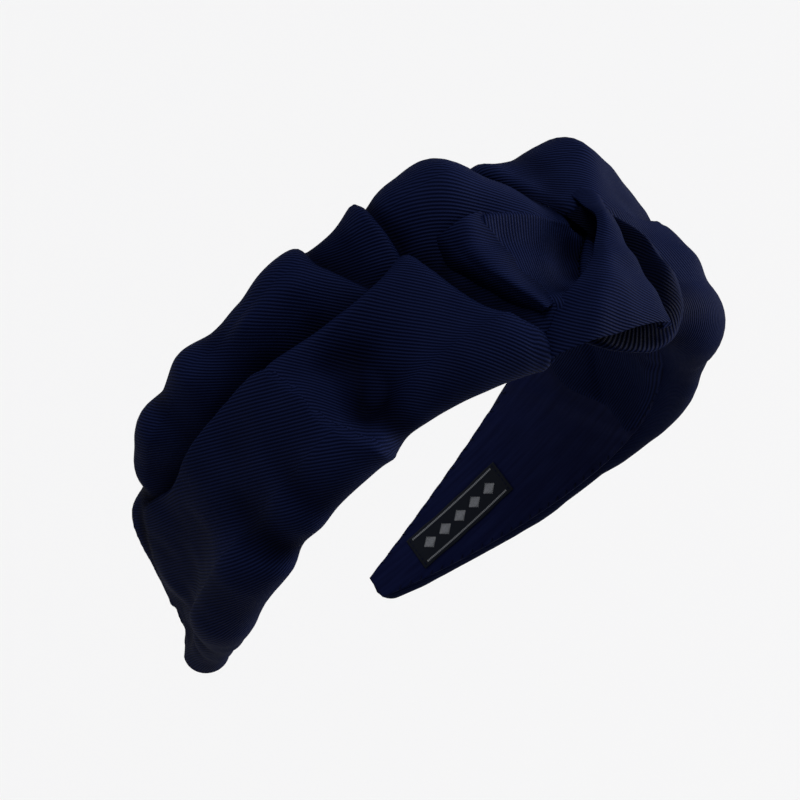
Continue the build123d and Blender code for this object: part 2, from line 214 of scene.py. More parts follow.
# Each fold is one layer of cloth. Its outline is where its edge rolls over the cloth below, or runs hidden
# under another fold. Points are (along, across, high) in millimetres. The folds are listed from the lowest to
# the highest. ribs is the direction of the twill's ribs, in degrees from along the band. round is how far a
# sharper lip rolls out.
FOLDS = [
    dict(
        name="far_back", part="right", ribs=-52,
        outline=[
            (22, -10, 15), (24, OFF, 0), (205, OFF, 0), (205, 0, 7.6), (150, -4, 8.5), (100, -8, 11),
            (60, -8, 14),
        ],
        shape=[
            (30, 16, 17), (32, 28, 13), (48, 14, 18), (50, 28, 12), (62, 18, 14), (76, 14, 17), (78, 27, 11),
            (96, 12, 13), (98, 25, 8), (112, 10, 14), (130, 8, 10), (132, 18, 7), (150, 5, 10), (172, 3, 8),
            (189, 0, 7.6),
        ],
    ),
    dict(
        name="far_pleat", part="right", ribs=-40,
        outline=[
            (36, OFF, 0), (34, 24, 15), (40, 15, 19), (58, 9, 19), (84, 12, 16), (104, 18, 12), (112, OFF, 0),
        ],
        shape=[(50, 20, 20), (70, 18, 20), (90, 22, 15), (60, 29, 13), (88, 27, 10)],
    ),
    dict(
        name="big_ridge", part="left", ribs=-30,
        outline=[
            (-50, OFF, 0), (-48, 10, 9), (-40, -2, 9), (-30, -8, 9), (-14, -4, 11), (4, -4, 12), (6, 6, 12),
            (-6, 18, 12), (-14, 26, 12), (-15, OFF, 0),
        ],
        shape=[
            (-38, 22, 11), (-34, 23.5, 15.5), (-28, 21, 19), (-20.5, 20.5, 21.2), (-15, 20, 18.4),
            (-11, 19, 14.5), (-11, 13, 17.5), (-6, 7, 15.5), (1, 1, 13.5), (-39, 12, 8), (-36, 6, 8.5),
            (-32, 9, 12), (-28, 12, 17), (-22, 12, 18.5), (-17, 8, 16), (-27, 5, 12), (-20, 3, 12),
            (-28, 27, 15), (-2, 10, 12),
        ],
    ),
    dict(
        name="side_sheet", part="left", ribs=-30, round=1.6,
        outline=[
            (-66, OFF, 0), (-62, 10, 9), (-52, -2, 9), (-42, -2, 10), (-36.0, 8, 12), (-36.3, 16, 16.5),
            (-37.0, 24, 17), (-38, OFF, 0),
        ],
        shape=[
            (-51, 17, 11), (-44, 20, 12.5), (-39.5, 19, 16), (-38.5, 10, 13), (-45.5, 6, 8.5), (-46, 12, 9.5),
        ],
    ),
    dict(
        name="back_roll", part="left", ribs=-46,
        outline=[
            (-186, 3, 7.8), (-190, OFF, 0), (-57, OFF, 0), (-52, 22, 15), (-49.5, 16, 14), (-46, 8, 11),
            (-42, 0, 9), (-60, -8, 8), (-110, -4, 8),
        ],
        shape=[
            (-150, 19, 9), (-137, 24, 10), (-122, 25, 12), (-109, 29, 12), (-98, 26, 12), (-80, 25, 12),
            (-69, 25, 12), (-58, 21, 17), (-122, 18, 15), (-104, 19, 18), (-86, 17.5, 18.5), (-70, 16, 18.5),
            (-58, 15, 18.5), (-53, 15, 15), (-112, 11.5, 9.5), (-100, 11, 10), (-86, 10, 10), (-72, 9, 9.5),
            (-60, 8, 9.5), (-52, 7, 9.5), (-126, 15, 11), (-163, 13, 8.6), (-176, 9, 8.2),
        ],
    ),
    dict(
        name="tuck", part="left", ribs=-30, round=1.5,
        outline=[
            (-31, 3, 9), (-23.5, 9, 14), (-18, 2, 11), (-16, -14, 11), (-16, -32, 12), (-34, -34, 9),
            (-36, -4, 9),
        ],
        shape=[
            (-22.6, 6.5, 15), (-22.6, -1.4, 14), (-21.6, -9.8, 14), (-20.6, -16.3, 14), (-20, -22, 14),
            (-26, 4, 12), (-25.5, -2, 12), (-24.5, -9, 12), (-28.8, 0, 9.5), (-27.6, -7, 9.5), (-26, -14, 10),
            (-23.8, -20, 12.5),
        ],
    ),
    dict(
        name="inner_sheet", part="left", ribs=-104, round=1.2,
        outline=[
            (-21, 8.8, 18), (-14, 6.6, 17), (-5, 3.6, 16), (5, 0, 15), (14, -8, 12), (8, -34, 10),
            (-18, -34, 13), (-18.5, -22, 15.5), (-19.4, -16.3, 15.6), (-20.4, -9.8, 15.6),
            (-21.2, -1.4, 15.8),
        ],
        shape=[
            (-16, 2, 14.2), (-14, -2, 13.5), (-9, -1, 13), (-2, -4, 8.6), (-10, -16, 9.2), (-15, -10, 13),
            (-6, -11, 8), (2, -3, 8.6), (-9, -8, 11),
        ],
    ),
    dict(
        name="front_panel", part="left", ribs=-45,
        outline=[
            (-205, 6, 7.6), (-189, 5, 7.6), (-170, 8, 9), (-145, 16, 10), (-129, 20, 12), (-120, 13, 13),
            (-112, 8.5, 14), (-102, 8, 15), (-93, 8, 15.5), (-81, 7, 16), (-68, 6.5, 16.5), (-58, 5.5, 16.5),
            (-48, 5, 16.5), (-42, 7, 16.5), (-35, 10.5, 16.5), (-32, -1.6, 16), (-30.5, -7.7, 16),
            (-29, -13.7, 16), (-26.4, -19.6, 16), (-23.5, -24.5, 16), (-20, -34, 15), (-18, -OFF, 0),
            (-205, -OFF, 0),
        ],
        shape=[
            (-71, 2, 18), (-68.5, -7.5, 18.5), (-68.5, -14.7, 18), (-66.5, -22, 16.5), (-62.5, -29.5, 13),
            (-62, -3, 10.5), (-56, -6, 8), (-60, -13, 7.4), (-62, -20, 7.6), (-59.5, -27, 7.6),
            (-50, -12, 10.5), (-41, -10, 15), (-33, -18, 15.5), (-42, -26, 13), (-53, -27, 9.5),
            (-28, -30, 14.5), (-48, -1, 14.5), (-80, 0, 15.5), (-82, -16, 13), (-76, -30, 12),
        ],
    ),
    dict(
        name="lower_panel", part="left", ribs=-32, round=1.0,
        outline=[
            (-205, 6, 7.6), (-189, 5, 7.6), (-170, 8, 9), (-146, 16, 10), (-130, 20.5, 12), (-121, 13.5, 13),
            (-112, 9, 14.2), (-102, 8.5, 15.2), (-93, 8.5, 15.7), (-81, 7.5, 16.2), (-73, 7, 16.8),
            (-70.5, 2, 18.2), (-68.5, -7.5, 18.7), (-68.5, -14.7, 18.2), (-66.5, -22, 16.7),
            (-61.5, -31, 12.6), (-60, -OFF, 0), (-205, -OFF, 0),
        ],
        shape=[
            (-79, -2, 15.5), (-81, -12, 13.5), (-90, 1, 13.5), (-92, -10, 11.5), (-82, -21, 13.5),
            (-74, -29, 13), (-88, -30, 8), (-100, -20, 12.5), (-102, -31, 7), (-104, -3, 12.5),
            (-118, 4, 11.5), (-119, -12, 13), (-118, -28, 8), (-136, 6, 12), (-134, -10, 11.5),
            (-135, -26, 7), (-152, 0, 10.5), (-152, -12, 10), (-152, -22, 6), (-168, -8, 9), (-168, -17, 5.5),
            (-180, 0, 8.4), (-181, -12, 5), (-96, -26, 9.5),
        ],
    ),
    dict(
        name="top_fold", part="right", ribs=-40,
        outline=[
            (-12, OFF, 0), (-10, 28, 12), (-7, 19, 13), (0, 8, 13.5), (4, 1, 15), (16, -8, 16), (37, -4, 19),
            (40, OFF, 0),
        ],
        shape=[
            (-3, 22, 13), (5, 21, 14.6), (9.5, 21.5, 19), (14, 22.5, 24.6), (13, 15.4, 22.6), (9, 7, 20),
            (3, 13, 14.4), (18, 12, 21.2), (21, 18, 22.6), (24, 4, 20), (26, 20, 21), (13, 29, 15),
            (31, 12, 20.4), (-3, 14, 13.5), (24, 28, 15),
        ],
    ),
    dict(
        name="far_shoulder", part="right", ribs=-62,
        outline=[
            (6, 0, 16), (15, 1.5, 19), (28, -0.5, 20.5), (42, 6, 19.5), (66, 3, 18), (92, 8, 15),
            (122, 3, 12), (154, 3, 10), (189, 3, 7.6), (205, 0, 7.6), (205, -OFF, 0), (-12, -OFF, 0),
            (-6, -20, 10),
        ],
        shape=[
            (20, -6, 16.5), (25, -14, 15.5), (26, -24, 13), (34, -14, 22), (40, -22, 20.5), (32, -28, 14),
            (52, -26, 14), (52, -8, 19.5), (50, -31, 8), (68, -30, 7), (8, -10, 11), (8, -19, 8.5),
            (6, -27, 5.5), (-4, -14, 10), (-4, -26, 5.5), (16, -22, 10.5), (16, -30, 6), (68, -20, 12),
            (70, -6, 17.5), (86, -27, 6), (84, -12, 13.5), (88, 0, 15.5), (104, -4, 11.5), (106, -18, 8.5),
            (124, -6, 10.5), (126, -14, 7.6), (150, -4, 9.2), (176, -1, 7.8),
        ],
    ),
]


# Some of the cloth stands free of the folds: the knot's strap, the rim that it is drawn out of, and the thin
# roll of the left strip beside it. Each row runs from the left to the right, as (along, across, high) in
# millimetres. tone is painted shade and light from one side of the sheet to the other: below zero it darkens
# the cloth's colour as painted shade, above zero it lightens it a little. turned says whether its edges turn
# under.
FREE_SHEETS = [
    dict(
        name="thin_roll", part="left", ribs=60, turned=False, tone=(-1.3, -0.1, 0.3, -0.4),
        rows=[
            [(-31, 9.5, 9.5), (-28, 8, 15), (-24.5, 7.5, 18.4), (-18.6, 8.8, 16.8)],
            [(-30, 5.5, 10), (-27.5, 4, 15.5), (-24.6, 4.4, 18.6), (-18.4, 6, 15.8)],
            [(-29, 1, 10), (-27, -1, 15.5), (-25, -1.5, 18.4), (-18.2, 0.6, 15.2)],
            [(-27.5, -3.8, 10), (-26.4, -5.2, 15.4), (-24.8, -5.8, 18.3), (-18, -3.6, 15)],
            [(-26, -8.8, 10), (-25.2, -10, 15.4), (-24, -11, 18.2), (-17.6, -8.4, 14.6)],
            [(-23.6, -16.4, 10.5), (-23, -17.4, 15.4), (-21.9, -18, 18), (-16.4, -15.2, 13.8)],
            [(-21, -22.3, 11.5), (-21, -23, 15.2), (-20.8, -23.6, 17), (-16.2, -21, 13.8)],
        ],
    ),
    dict(
        name="rim", part="knot", ribs=35, turned=False, tone=(-1.5, -1.4, 0.1, 0.1),
        rows=[
            [(2, 3, 14), (5, 2.5, 18.5), (7, 2, 19), (12, 5, 15)],
            [(5, -6, 13), (7.5, -5.5, 19.3), (9, -4, 20), (15, -1, 15.5)],
            [(6.5, -15, 10), (11.5, -14, 18.6), (13.3, -12.5, 20), (20.5, -9, 15)],
            [(6, -22, 8), (11, -22.7, 17.4), (14.8, -21.6, 18.8), (23, -18, 14)],
            [(5, -27, 7), (12, -28, 15), (16.7, -27.5, 16.2), (25, -25, 10)],
            [(5, -28.5, 6.5), (11.8, -31.5, 12), (16.7, -32, 12), (24, -29, 4)],
            [(3, -28.5, 6), (9, -33.5, 8.6), (12, -36, 8.4), (17, -30, -0.6)],
            [(0, -27.5, 5.5), (2, -33.6, 6), (5, -37, 5), (8, -29, -1)],
            [(-6, -26, 5.5), (-5.7, -31, 6), (-4, -33.7, 4.3), (0, -27, -0.8)],
            [(-12, -23, 5), (-11, -27, 5.5), (-10, -28.5, 3.8), (-7, -24, 0)],
        ],
    ),
    dict(
        name="strap", part="knot", ribs=65, turned=True, tone=(0.1, 0.2, 0.2, 0.2),
        rows=[
            [(7, 13, 16), (8.6, 12.5, 18.6), (10.4, 12, 18.6), (13, 11, 16)],
            [(4.6, 4.6, 18), (6.8, 3.4, 20.4), (8.4, 2.4, 20.6), (11, 2, 18.6)],
            [(1.5, -5, 20), (1.8, -6.5, 21.5), (3.4, -7, 21.6), (5.6, -7.6, 20.6)],
            [(-5.5, -15, 19.5), (-4, -16, 22), (-0.8, -16.6, 22), (3.6, -17.6, 20)],
            [(-12.7, -20.5, 18), (-10, -24, 21.5), (-4, -24.6, 21.2), (4, -26.4, 18.6)],
            [(-19.5, -23, 12.5), (-14.8, -29, 18.6), (-7, -31, 19), (4.6, -32, 16.6)],
            [(-23.4, -31.6, 9.6), (-17, -34.2, 14.6), (-8, -35.2, 15.6), (6.4, -35, 14)],
        ],
    ),
]
SHEET_ROWS, SHEET_COLUMNS = 90, 60
TURN_UNDER, TURN_DOWN = 1.3, 1.7  # how far the strap's edges turn in under it, and down


def flow(places, count):
    """Points along a smooth line through the given places, which can be points or whole rows of them."""
    n = len(places)
    padded = np.concatenate([[2 * places[0] - places[1]], places, [2 * places[-1] - places[-2]]])
    at = np.linspace(0, n - 1, count)
    first = np.minimum(at.astype(int), n - 2)
    share = (at - first).reshape(-1, *([1] * (places.ndim - 1)))
    a, b, c, d = (padded[first + step] for step in range(4))
    return b + 0.5 * share * (c - a + share * (2 * a - 5 * b + 4 * c - d + share * (3 * (b - c) + d - a)))


def turn_under(rows):
    """One more row, turned in and down under the last one."""
    inwards = rows[-2] - rows[-1]
    inwards = inwards / np.linalg.norm(inwards, axis=-1, keepdims=True) * TURN_UNDER
    return np.concatenate([rows, [rows[-1] + inwards - np.array([0, 0, TURN_DOWN])]])


def free_sheet(sheet):
    """One of the free sheets: its points, its faces, each face's corners on the flat cloth, and its painted
    shade.
    """
    rows = np.array(sheet["rows"], float)
    if sheet["turned"]:
        rows = turn_under(rows)
        for _ in range(2):
            rows = turn_under(rows.swapaxes(0, 1)).swapaxes(0, 1)[:, ::-1]  # and its other side next
    grid = flow(flow(rows, SHEET_ROWS).swapaxes(0, 1), SHEET_COLUMNS).swapaxes(0, 1)
    along, across, high = grid[..., 0], grid[..., 1], grid[..., 2]
    points = spot(along, across, high + SHEET_CRUMPLE * crumple(along, across))
    quads = grid_faces(SHEET_ROWS, SHEET_COLUMNS)
    flat = np.stack([place.reshape(-1) for place in laid_flat(points)], -1)[quads]
    # painted shade across the sheet: darker below zero, a little lighter above it
    tone = np.interp(np.linspace(0, 1, SHEET_COLUMNS), np.linspace(0, 1, len(sheet["tone"])), sheet["tone"])
    return points.reshape(-1, 3), quads, along_ribs(flat, radians(sheet["ribs"])), np.tile(tone, SHEET_ROWS)


def grid_faces(rows, columns):
    """The faces of a grid of points, each as its four corners, with their front away from the head."""
    corner = np.arange(rows * columns).reshape(rows, columns)
    return np.stack([corner[:-1, :-1], corner[1:, :-1], corner[1:, 1:], corner[:-1, 1:]], -1).reshape(-1, 4)


def along_ribs(flat, way):
    """Places on the flat cloth, turned so that the ribs run along the first of the two."""
    c, s = np.cos(way), np.sin(way)
    return np.stack([flat[..., 0] * c + flat[..., 1] * s, flat[..., 1] * c - flat[..., 0] * s], -1)


def fold_top(fold, near, along, round_section):
    """How far a fold's cloth is risen at the places near it, from the heights that the fold gives."""
    given = [(a, *to_sheet(a, c, h)) for a, c, h in fold["outline"] + fold["shape"] if abs(c) < OFF]
    heights = np.array([rise for _, _, rise in given])
    top = np.full(along.shape, LEAST_RISE)
    top[near] = plate([(a, c) for a, c, _ in given], heights, along[near], round_section[near])
    return np.clip(top, LEAST_RISE, MOST_RISE)


def lay_folds(along, round_section):
    """Lays the folds over each other, from the lowest.

    Returns the rise, the slip along and round the section, and each place's fold.
    """
    rise = np.full(along.shape, BASE_RISE)
    slip_along, slip_round = np.zeros(along.shape), np.zeros(along.shape)
    left_arm_cloth = [fold["name"] for fold in FOLDS].index("back_roll")
    owner = np.where(along < -FLEX_ALONG, left_arm_cloth, 0)  # what no fold covers goes with its own arm
    step_along = along[1, 0] - along[0, 0]
    for number, fold in enumerate(FOLDS):
        outline = rounded([(a, to_sheet(a, c, h)[0]) for a, c, h in fold["outline"]])
        depth = depth_inside(along, round_section, outline)
        inside, near = depth > 0, depth > -FOLD_ROUND
        top = fold_top(fold, near, along, round_section)
        # the fold's edge is a lip, rolled out and turned under
        drop = np.clip(top - rise, 0.0, MOST_DROP)
        tall = drop / (1 - cos(LIP_TURN))
        lip = np.minimum(tall, fold.get("round", LIP_ROUND))
        reach = np.maximum(LIP_REACH * lip, LEAST_REACH)
        rolled = lip > LEAST_LIP
        share = np.clip(depth / reach, 0, 1)
        angle = (1 - share) * LIP_TURN
        over = np.where(drop > LEAST_LIP, top - tall * (1 - np.cos(angle)), rise + (top - rise) * share)
        # the lip moves outwards, and draws the cloth round it under itself
        push = lip * np.sin(angle) - (reach - depth) * rolled * (share < 1)
        pull = lip * np.sin(LIP_TURN) - reach * rolled
        outside = np.clip(1 + depth / np.maximum(reach, PULL_REACH), 0, 1)
        push = np.where(inside, push, np.where(near, pull * outside**2, 0))
        down_along, down_round = np.gradient(depth)
        down_along = down_along / step_along
        down_round = down_round / np.gradient(round_section, axis=1)
        size = np.hypot(down_along, down_round) + 1e-9
        keep = np.where(inside, 0.0, 1.0)
        slip_along = slip_along * keep - push * down_along / size
        slip_round = slip_round * keep - push * down_round / size
        rise = np.where(inside, over, rise)
        owner[inside] = number
    return rise, slip_along, slip_round, owner


def settle(values, times):
    """Evens out a grid of values a little, as cloth does."""
    for _ in range(times):
        padded = np.pad(values, 1, mode="edge")
        near = padded[:-2, 1:-1] + padded[2:, 1:-1] + padded[1:-1, :-2] + padded[1:-1, 2:]
        values = SETTLE_KEEP * values + (1 - SETTLE_KEEP) / 4 * near
    return values


def crumple(along, across):
    """Slight unevenness all over, so that no stretch of cloth is quite smooth."""
    rng = np.random.default_rng(CRUMPLE_SEED)
    total = np.zeros(along.shape)
    for length in CRUMPLE_LENGTHS:
        for _ in range(CRUMPLE_WAVES):
            way, start = rng.uniform(0, 2 * pi, 2)
            place = along * np.cos(way) + across * np.sin(way)
            total += length**CRUMPLE_POWER * np.sin(place * 2 * pi / length + start)
    return total * CRUMPLE_HIGH


def laid_flat(points):
    """Each point's place on the cloth as it was before it was gathered, so that no rib is stretched.

    Returns the places along the grid's rows and along its columns, in two arrays.
    """
    spans = [np.linalg.norm(np.gradient(points, axis=axis), axis=-1) for axis in (0, 1)]
    rows, columns = points.shape[:2]
    row_wave = 2 - 2 * np.cos(pi * np.arange(2 * rows) / rows)
    column_wave = 2 - 2 * np.cos(pi * np.arange(2 * columns) / columns)
    waves = row_wave[:, None] + column_wave[None, :]
    waves[0, 0] = 1
    results = []
    for axis, span in enumerate(spans):
        between = 0.5 * (span[1:] + span[:-1]) if axis == 0 else 0.5 * (span[:, 1:] + span[:, :-1])
        gain = np.zeros(span.shape)
        if axis == 0:
            gain[:-1] -= between
            gain[1:] += between
        else:
            gain[:, :-1] -= between
            gain[:, 1:] += between
        mirrored = np.block([[gain, gain[:, ::-1]], [gain[::-1], gain[::-1, ::-1]]])
        spread = np.fft.fft2(mirrored) / waves
        spread[0, 0] = 0
        results.append(np.real(np.fft.ifft2(spread))[:rows, :columns])
    return results


# ---------------------------------------------------------------- meshes


def mesh_piece(name, points, faces, material, uv=None):
    """A new piece from points in millimetres and its faces, with one material and a UV for each corner."""
    mesh = bpy.data.meshes.new(name)
    mesh.from_pydata((np.asarray(points) * MM).tolist(), [], faces)
    mesh.update()
    mesh.shade_smooth()
    if uv is not None:
        layer = mesh.uv_layers.new(name="cloth")
        layer.data.foreach_set("uv", np.asarray(uv, np.float32).ravel())
    mesh.materials.append(material)
    piece = bpy.data.objects.new(name, mesh)
    bpy.context.scene.collection.objects.link(piece)
    return piece


def finish_modifiers(piece):
    """Turns the piece's modifiers into its mesh."""
    bpy.context.view_layer.update()
    done = bpy.data.meshes.new_from_object(piece.evaluated_get(bpy.context.evaluated_depsgraph_get()))
    done.name = piece.name
    if len(done.materials) > 1:  # an instance brings an empty material slot of its own
        own = [m for m in done.materials if m]
        done.materials.clear()
        done.materials.append(own[0])
        done.polygons.foreach_set("material_index", [0] * len(done.polygons))
    piece.modifiers.clear()
    piece.data = done
    return piece


def with_wall(piece, thick):
    """The piece with a thickness behind its shown side."""
    wall = piece.modifiers.new("wall", "SOLIDIFY")
    wall.thickness, wall.offset = thick * MM, -1
    return finish_modifiers(piece)


def bend_at_flex(piece):
    """Bakes the piece's place into its mesh."""
    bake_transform(piece)


# ---------------------------------------------------------------- materials


SHEEN_TINT = (0.4, 0.5, 0.9, 1)
# The twill's colour across each rib, from the groove to the ridge: the weave's own rib pattern, with painted
# shade deepening the groove
TWILL_GROOVE = (0.0016, 0.0030, 0.015)
TWILL_SIDE = (0.0052, 0.0090, 0.040)
TWILL_RIDGE = (0.0095, 0.0155, 0.062)


def new_material(name, colour, roughness, **more):
    """A material whose even values are set on the shader's own sockets."""
    material = bpy.data.materials.new(name)
    material.use_nodes = True
    shader = material.node_tree.nodes["Principled BSDF"]
    shader.inputs["Base Color"].default_value = (*colour, 1)
    shader.inputs["Roughness"].default_value = roughness
    for socket, value in more.items():
        shader.inputs[socket.replace("_", " ")].default_value = value
    return material


def add(tree, kind, links=None, **settings):
    """A node with its settings, and its inputs filled from other nodes' outputs or with plain values."""
    node = tree.nodes.new(kind)
    for key, value in settings.items():
        setattr(node, key, value)
    for socket, value in (links or {}).items():
        if isinstance(value, bpy.types.NodeSocket):
            tree.links.new(value, node.inputs[socket])
        else:
            node.inputs[socket].default_value = value
    return node


def ramp(tree, source, stops):
    """A colour ramp from a value."""
    node = add(tree, "ShaderNodeValToRGB", {"Fac": source})
    node.color_ramp.elements[0].position, node.color_ramp.elements[0].color = stops[0][0], (*stops[0][1], 1)
    node.color_ramp.elements[1].position, node.color_ramp.elements[1].color = stops[-1][0], (*stops[-1][1], 1)
    for position, colour in stops[1:-1]:
        node.color_ramp.elements.new(position).color = (*colour, 1)
    return node.outputs["Color"]


def multiplied(tree, first, second):
    """One colour multiplied by another."""
    product = add(tree, "ShaderNodeMix", data_type="RGBA", blend_type="MULTIPLY")
    product.inputs["Factor"].default_value = 1.0
    tree.links.new(first, product.inputs["A"])
    tree.links.new(second, product.inputs["B"])
    return product.outputs["Result"]


def twill():
    """Navy twill: raised ribs one millimetre apart, each with finer slanting threads, and a soft sheen."""
    material = new_material(
        "navy_twill", (0.003, 0.0045, 0.024), 0.62,
        Specular_IOR_Level=0.02, Sheen_Weight=0.003, Sheen_Roughness=0.5,
    )
    material.node_tree.nodes["Principled BSDF"].inputs["Sheen Tint"].default_value = SHEEN_TINT
    tree = material.node_tree
    shader = tree.nodes["Principled BSDF"]
    place = add(tree, "ShaderNodeUVMap", uv_map="cloth").outputs["UV"]
    wander = add(tree, "ShaderNodeTexNoise", {"Vector": place, "Scale": 0.09, "Detail": 2.0})
    ribs = add(tree, "ShaderNodeTexWave", {
        "Vector": place, "Scale": 0.40, "Distortion": 0.35, "Detail": 1.0, "Detail Scale": 0.6,
    }, bands_direction="Y")
    slant = add(tree, "ShaderNodeMapping", {"Vector": place, "Rotation": (0, 0, radians(62))}).outputs[0]
    threads = add(tree, "ShaderNodeTexWave", {
        "Vector": slant, "Scale": 0.75, "Distortion": 0.6, "Detail": 1.0,
    }, bands_direction="X")
    fuzz = add(tree, "ShaderNodeTexNoise", {"Vector": place, "Scale": 1.7, "Detail": 4.0})
    colour = ramp(tree, ribs.outputs["Fac"], [(0.0, TWILL_GROOVE), (0.45, TWILL_SIDE), (1.0, TWILL_RIDGE)])
    tone = ramp(tree, wander.outputs["Fac"], [(0.25, (0.82, 0.84, 0.88)), (0.75, (1.12, 1.1, 1.06))])
    # painted shade: the colour is darkened by each point's painted shade, in the cloth's hollows and across
    # the free sheets
    painted_shade_place = add(tree, "ShaderNodeAttribute", attribute_name="painted_hollow_shade").outputs["Fac"]
    share = add(tree, "ShaderNodeMapRange", {
        "Value": painted_shade_place, "From Min": -MOST_DARK, "From Max": MOST_DARK,
    })
    shade = ramp(tree, share.outputs["Result"], [
        (0.0, (0.16, 0.17, 0.22)), (0.30, (0.55, 0.56, 0.60)), (0.5, (0.95, 0.95, 0.95)),
        (0.75, (1.0, 1.0, 1.0)), (1.0, (1.0, 1.0, 1.0)),
    ])
    tree.links.new(multiplied(tree, multiplied(tree, colour, tone), shade), shader.inputs["Base Color"])
    fine = add(tree, "ShaderNodeBump", {
        "Height": threads.outputs["Fac"], "Strength": 0.35, "Distance": 0.00006,
    })
    rough = add(tree, "ShaderNodeBump", {
        "Height": fuzz.outputs["Fac"], "Strength": 0.4, "Distance": 0.00012, "Normal": fine.outputs["Normal"],
    })
    relief = add(tree, "ShaderNodeBump", {
        "Height": ribs.outputs["Fac"], "Strength": 0.75, "Distance": 0.00022,
        "Normal": rough.outputs["Normal"],
    })
    tree.links.new(relief.outputs["Normal"], shader.inputs["Normal"])
    dull = add(tree, "ShaderNodeMapRange", {"Value": fuzz.outputs["Fac"], "To Min": 0.52, "To Max": 0.74})
    tree.links.new(dull.outputs["Result"], shader.inputs["Roughness"])
    return material


def satin(name="lining_satin"):
    """Smooth navy ribbon for the lining: fine warp lines along it, and a quiet gloss."""
    material = new_material(
        name, (0.003, 0.0045, 0.025), 0.5, Specular_IOR_Level=0.05, Sheen_Weight=0.006, Sheen_Roughness=0.4,
    )
    material.node_tree.nodes["Principled BSDF"].inputs["Sheen Tint"].default_value = SHEEN_TINT
    tree = material.node_tree
    shader = tree.nodes["Principled BSDF"]
    place = add(tree, "ShaderNodeUVMap", uv_map="cloth").outputs["UV"]
    weave = add(tree, "ShaderNodeTexWave", {
        "Vector": place, "Scale": 1.0, "Distortion": 0.8, "Detail": 2.0,
    }, bands_direction="Y")
    long_place = add(tree, "ShaderNodeMapping", {"Vector": place, "Scale": (0.05, 0.9, 1.0)}).outputs[0]
    warp = add(tree, "ShaderNodeTexNoise", {"Vector": long_place, "Scale": 1.0, "Detail": 5.0})
    wander = add(tree, "ShaderNodeTexNoise", {"Vector": place, "Scale": 0.07, "Detail": 2.0})
    colour = ramp(tree, warp.outputs["Fac"], [(0.3, (0.0038, 0.0060, 0.034)), (0.7, (0.0072, 0.0110, 0.054))])
    tone = ramp(tree, wander.outputs["Fac"], [(0.25, (0.85, 0.87, 0.9)), (0.75, (1.1, 1.1, 1.06))])
    tree.links.new(multiplied(tree, colour, tone), shader.inputs["Base Color"])
    fine = add(tree, "ShaderNodeBump", {"Height": weave.outputs["Fac"], "Strength": 0.3, "Distance": 0.00005})
    relief = add(tree, "ShaderNodeBump", {
        "Height": warp.outputs["Fac"], "Strength": 0.35, "Distance": 0.0001, "Normal": fine.outputs["Normal"],
    })
    tree.links.new(relief.outputs["Normal"], shader.inputs["Normal"])
    return material


def grained(name, colour, darker, roughness, scale, depth, gloss=0.5):
    """A plain solid material with a fine unevenness in its colour and its surface."""
    material = new_material(name, colour, roughness, Specular_IOR_Level=gloss)
    tree = material.node_tree
    shader = tree.nodes["Principled BSDF"]
    place = add(tree, "ShaderNodeTexCoord").outputs["Object"]
    grain = add(tree, "ShaderNodeTexNoise", {"Vector": place, "Scale": scale, "Detail": 4.0})
    tone = ramp(tree, grain.outputs["Fac"], [(0.3, darker), (0.7, colour)])
    tree.links.new(tone, shader.inputs["Base Color"])
    relief = add(tree, "ShaderNodeBump", {"Height": grain.outputs["Fac"], "Strength": 0.4, "Distance": depth})
    tree.links.new(relief.outputs["Normal"], shader.inputs["Normal"])
    return material


# ---------------------------------------------------------------- the gathered cloth


def gathered_cloth(material):
    """The left strip, the right strip and the knot's loop, cut from one surface along the folds' lips."""
    ends = HALF_LENGTH + PAST_TIP
    along = np.linspace(-ends, ends, ROWS)[:, None] * np.ones((1, COLUMNS))
    reach = half_at(along) - EDGE_IN + pi * EDGE_ROUND + HEM_DEEP
    across = np.linspace(-1, 1, COLUMNS)[None, :] * reach
    rise, slip_along, slip_round, owner = lay_folds(along, across)
    rise = settle(rise, 1)
    slip_along, slip_round = settle(slip_along, 2), settle(slip_round, 2)
    rise = np.maximum(rise + crumple(along, across), LEAST_RISE)
    # folds die away into the hem and round the tips
    hold = np.clip((ends - np.abs(along)) / HOLD_OVER, 0, 1)
    points = from_sheet(np.clip(along + slip_along * hold, -ends, ends), across + slip_round * hold, rise)
    # painted shade: the colour is darkened where the cloth lies lower than the cloth round it, as in a hollow
    near_shape, far_shape = rise - settle(rise, NEAR_TIMES), rise - settle(rise, FAR_TIMES)
    painted_shade = np.clip(NEAR_DARK * near_shape + FAR_DARK * far_shape, -MOST_DARK, MOST_DARK).reshape(-1)

    quads = grid_faces(ROWS, COLUMNS)
    quad_owner = owner[:-1, :-1].reshape(-1)
    ways = np.array([radians(fold["ribs"]) for fold in FOLDS])[quad_owner]
    flat = np.stack([place.reshape(-1) for place in laid_flat(points)], -1)[quads]
    points = points.reshape(-1, 3)
    uv = along_ribs(flat, ways[:, None])
    part_of = np.array([fold["part"] for fold in FOLDS])[quad_owner]
    pieces = {}
    for part, name in (("left", "left_strip"), ("right", "right_strip"), ("knot", "knot_cloth")):
        chosen = part_of == part
        used, faces = np.unique(quads[chosen], return_inverse=True)
        laid = [(points[used], faces.reshape(-1, 4), uv[chosen], painted_shade[used])]
        laid += [free_sheet(sheet) for sheet in FREE_SHEETS if sheet["part"] == part]
        starts = np.cumsum([0] + [len(one[0]) for one in laid])
        faces = np.concatenate([one[1] + start for one, start in zip(laid, starts)])
        all_points, all_uv, painted_shades = (np.concatenate([one[number] for one in laid]) for number in (0, 2, 3))
        pieces[part] = cloth_piece(name, all_points, faces, material, all_uv, painted_shades)
    return pieces


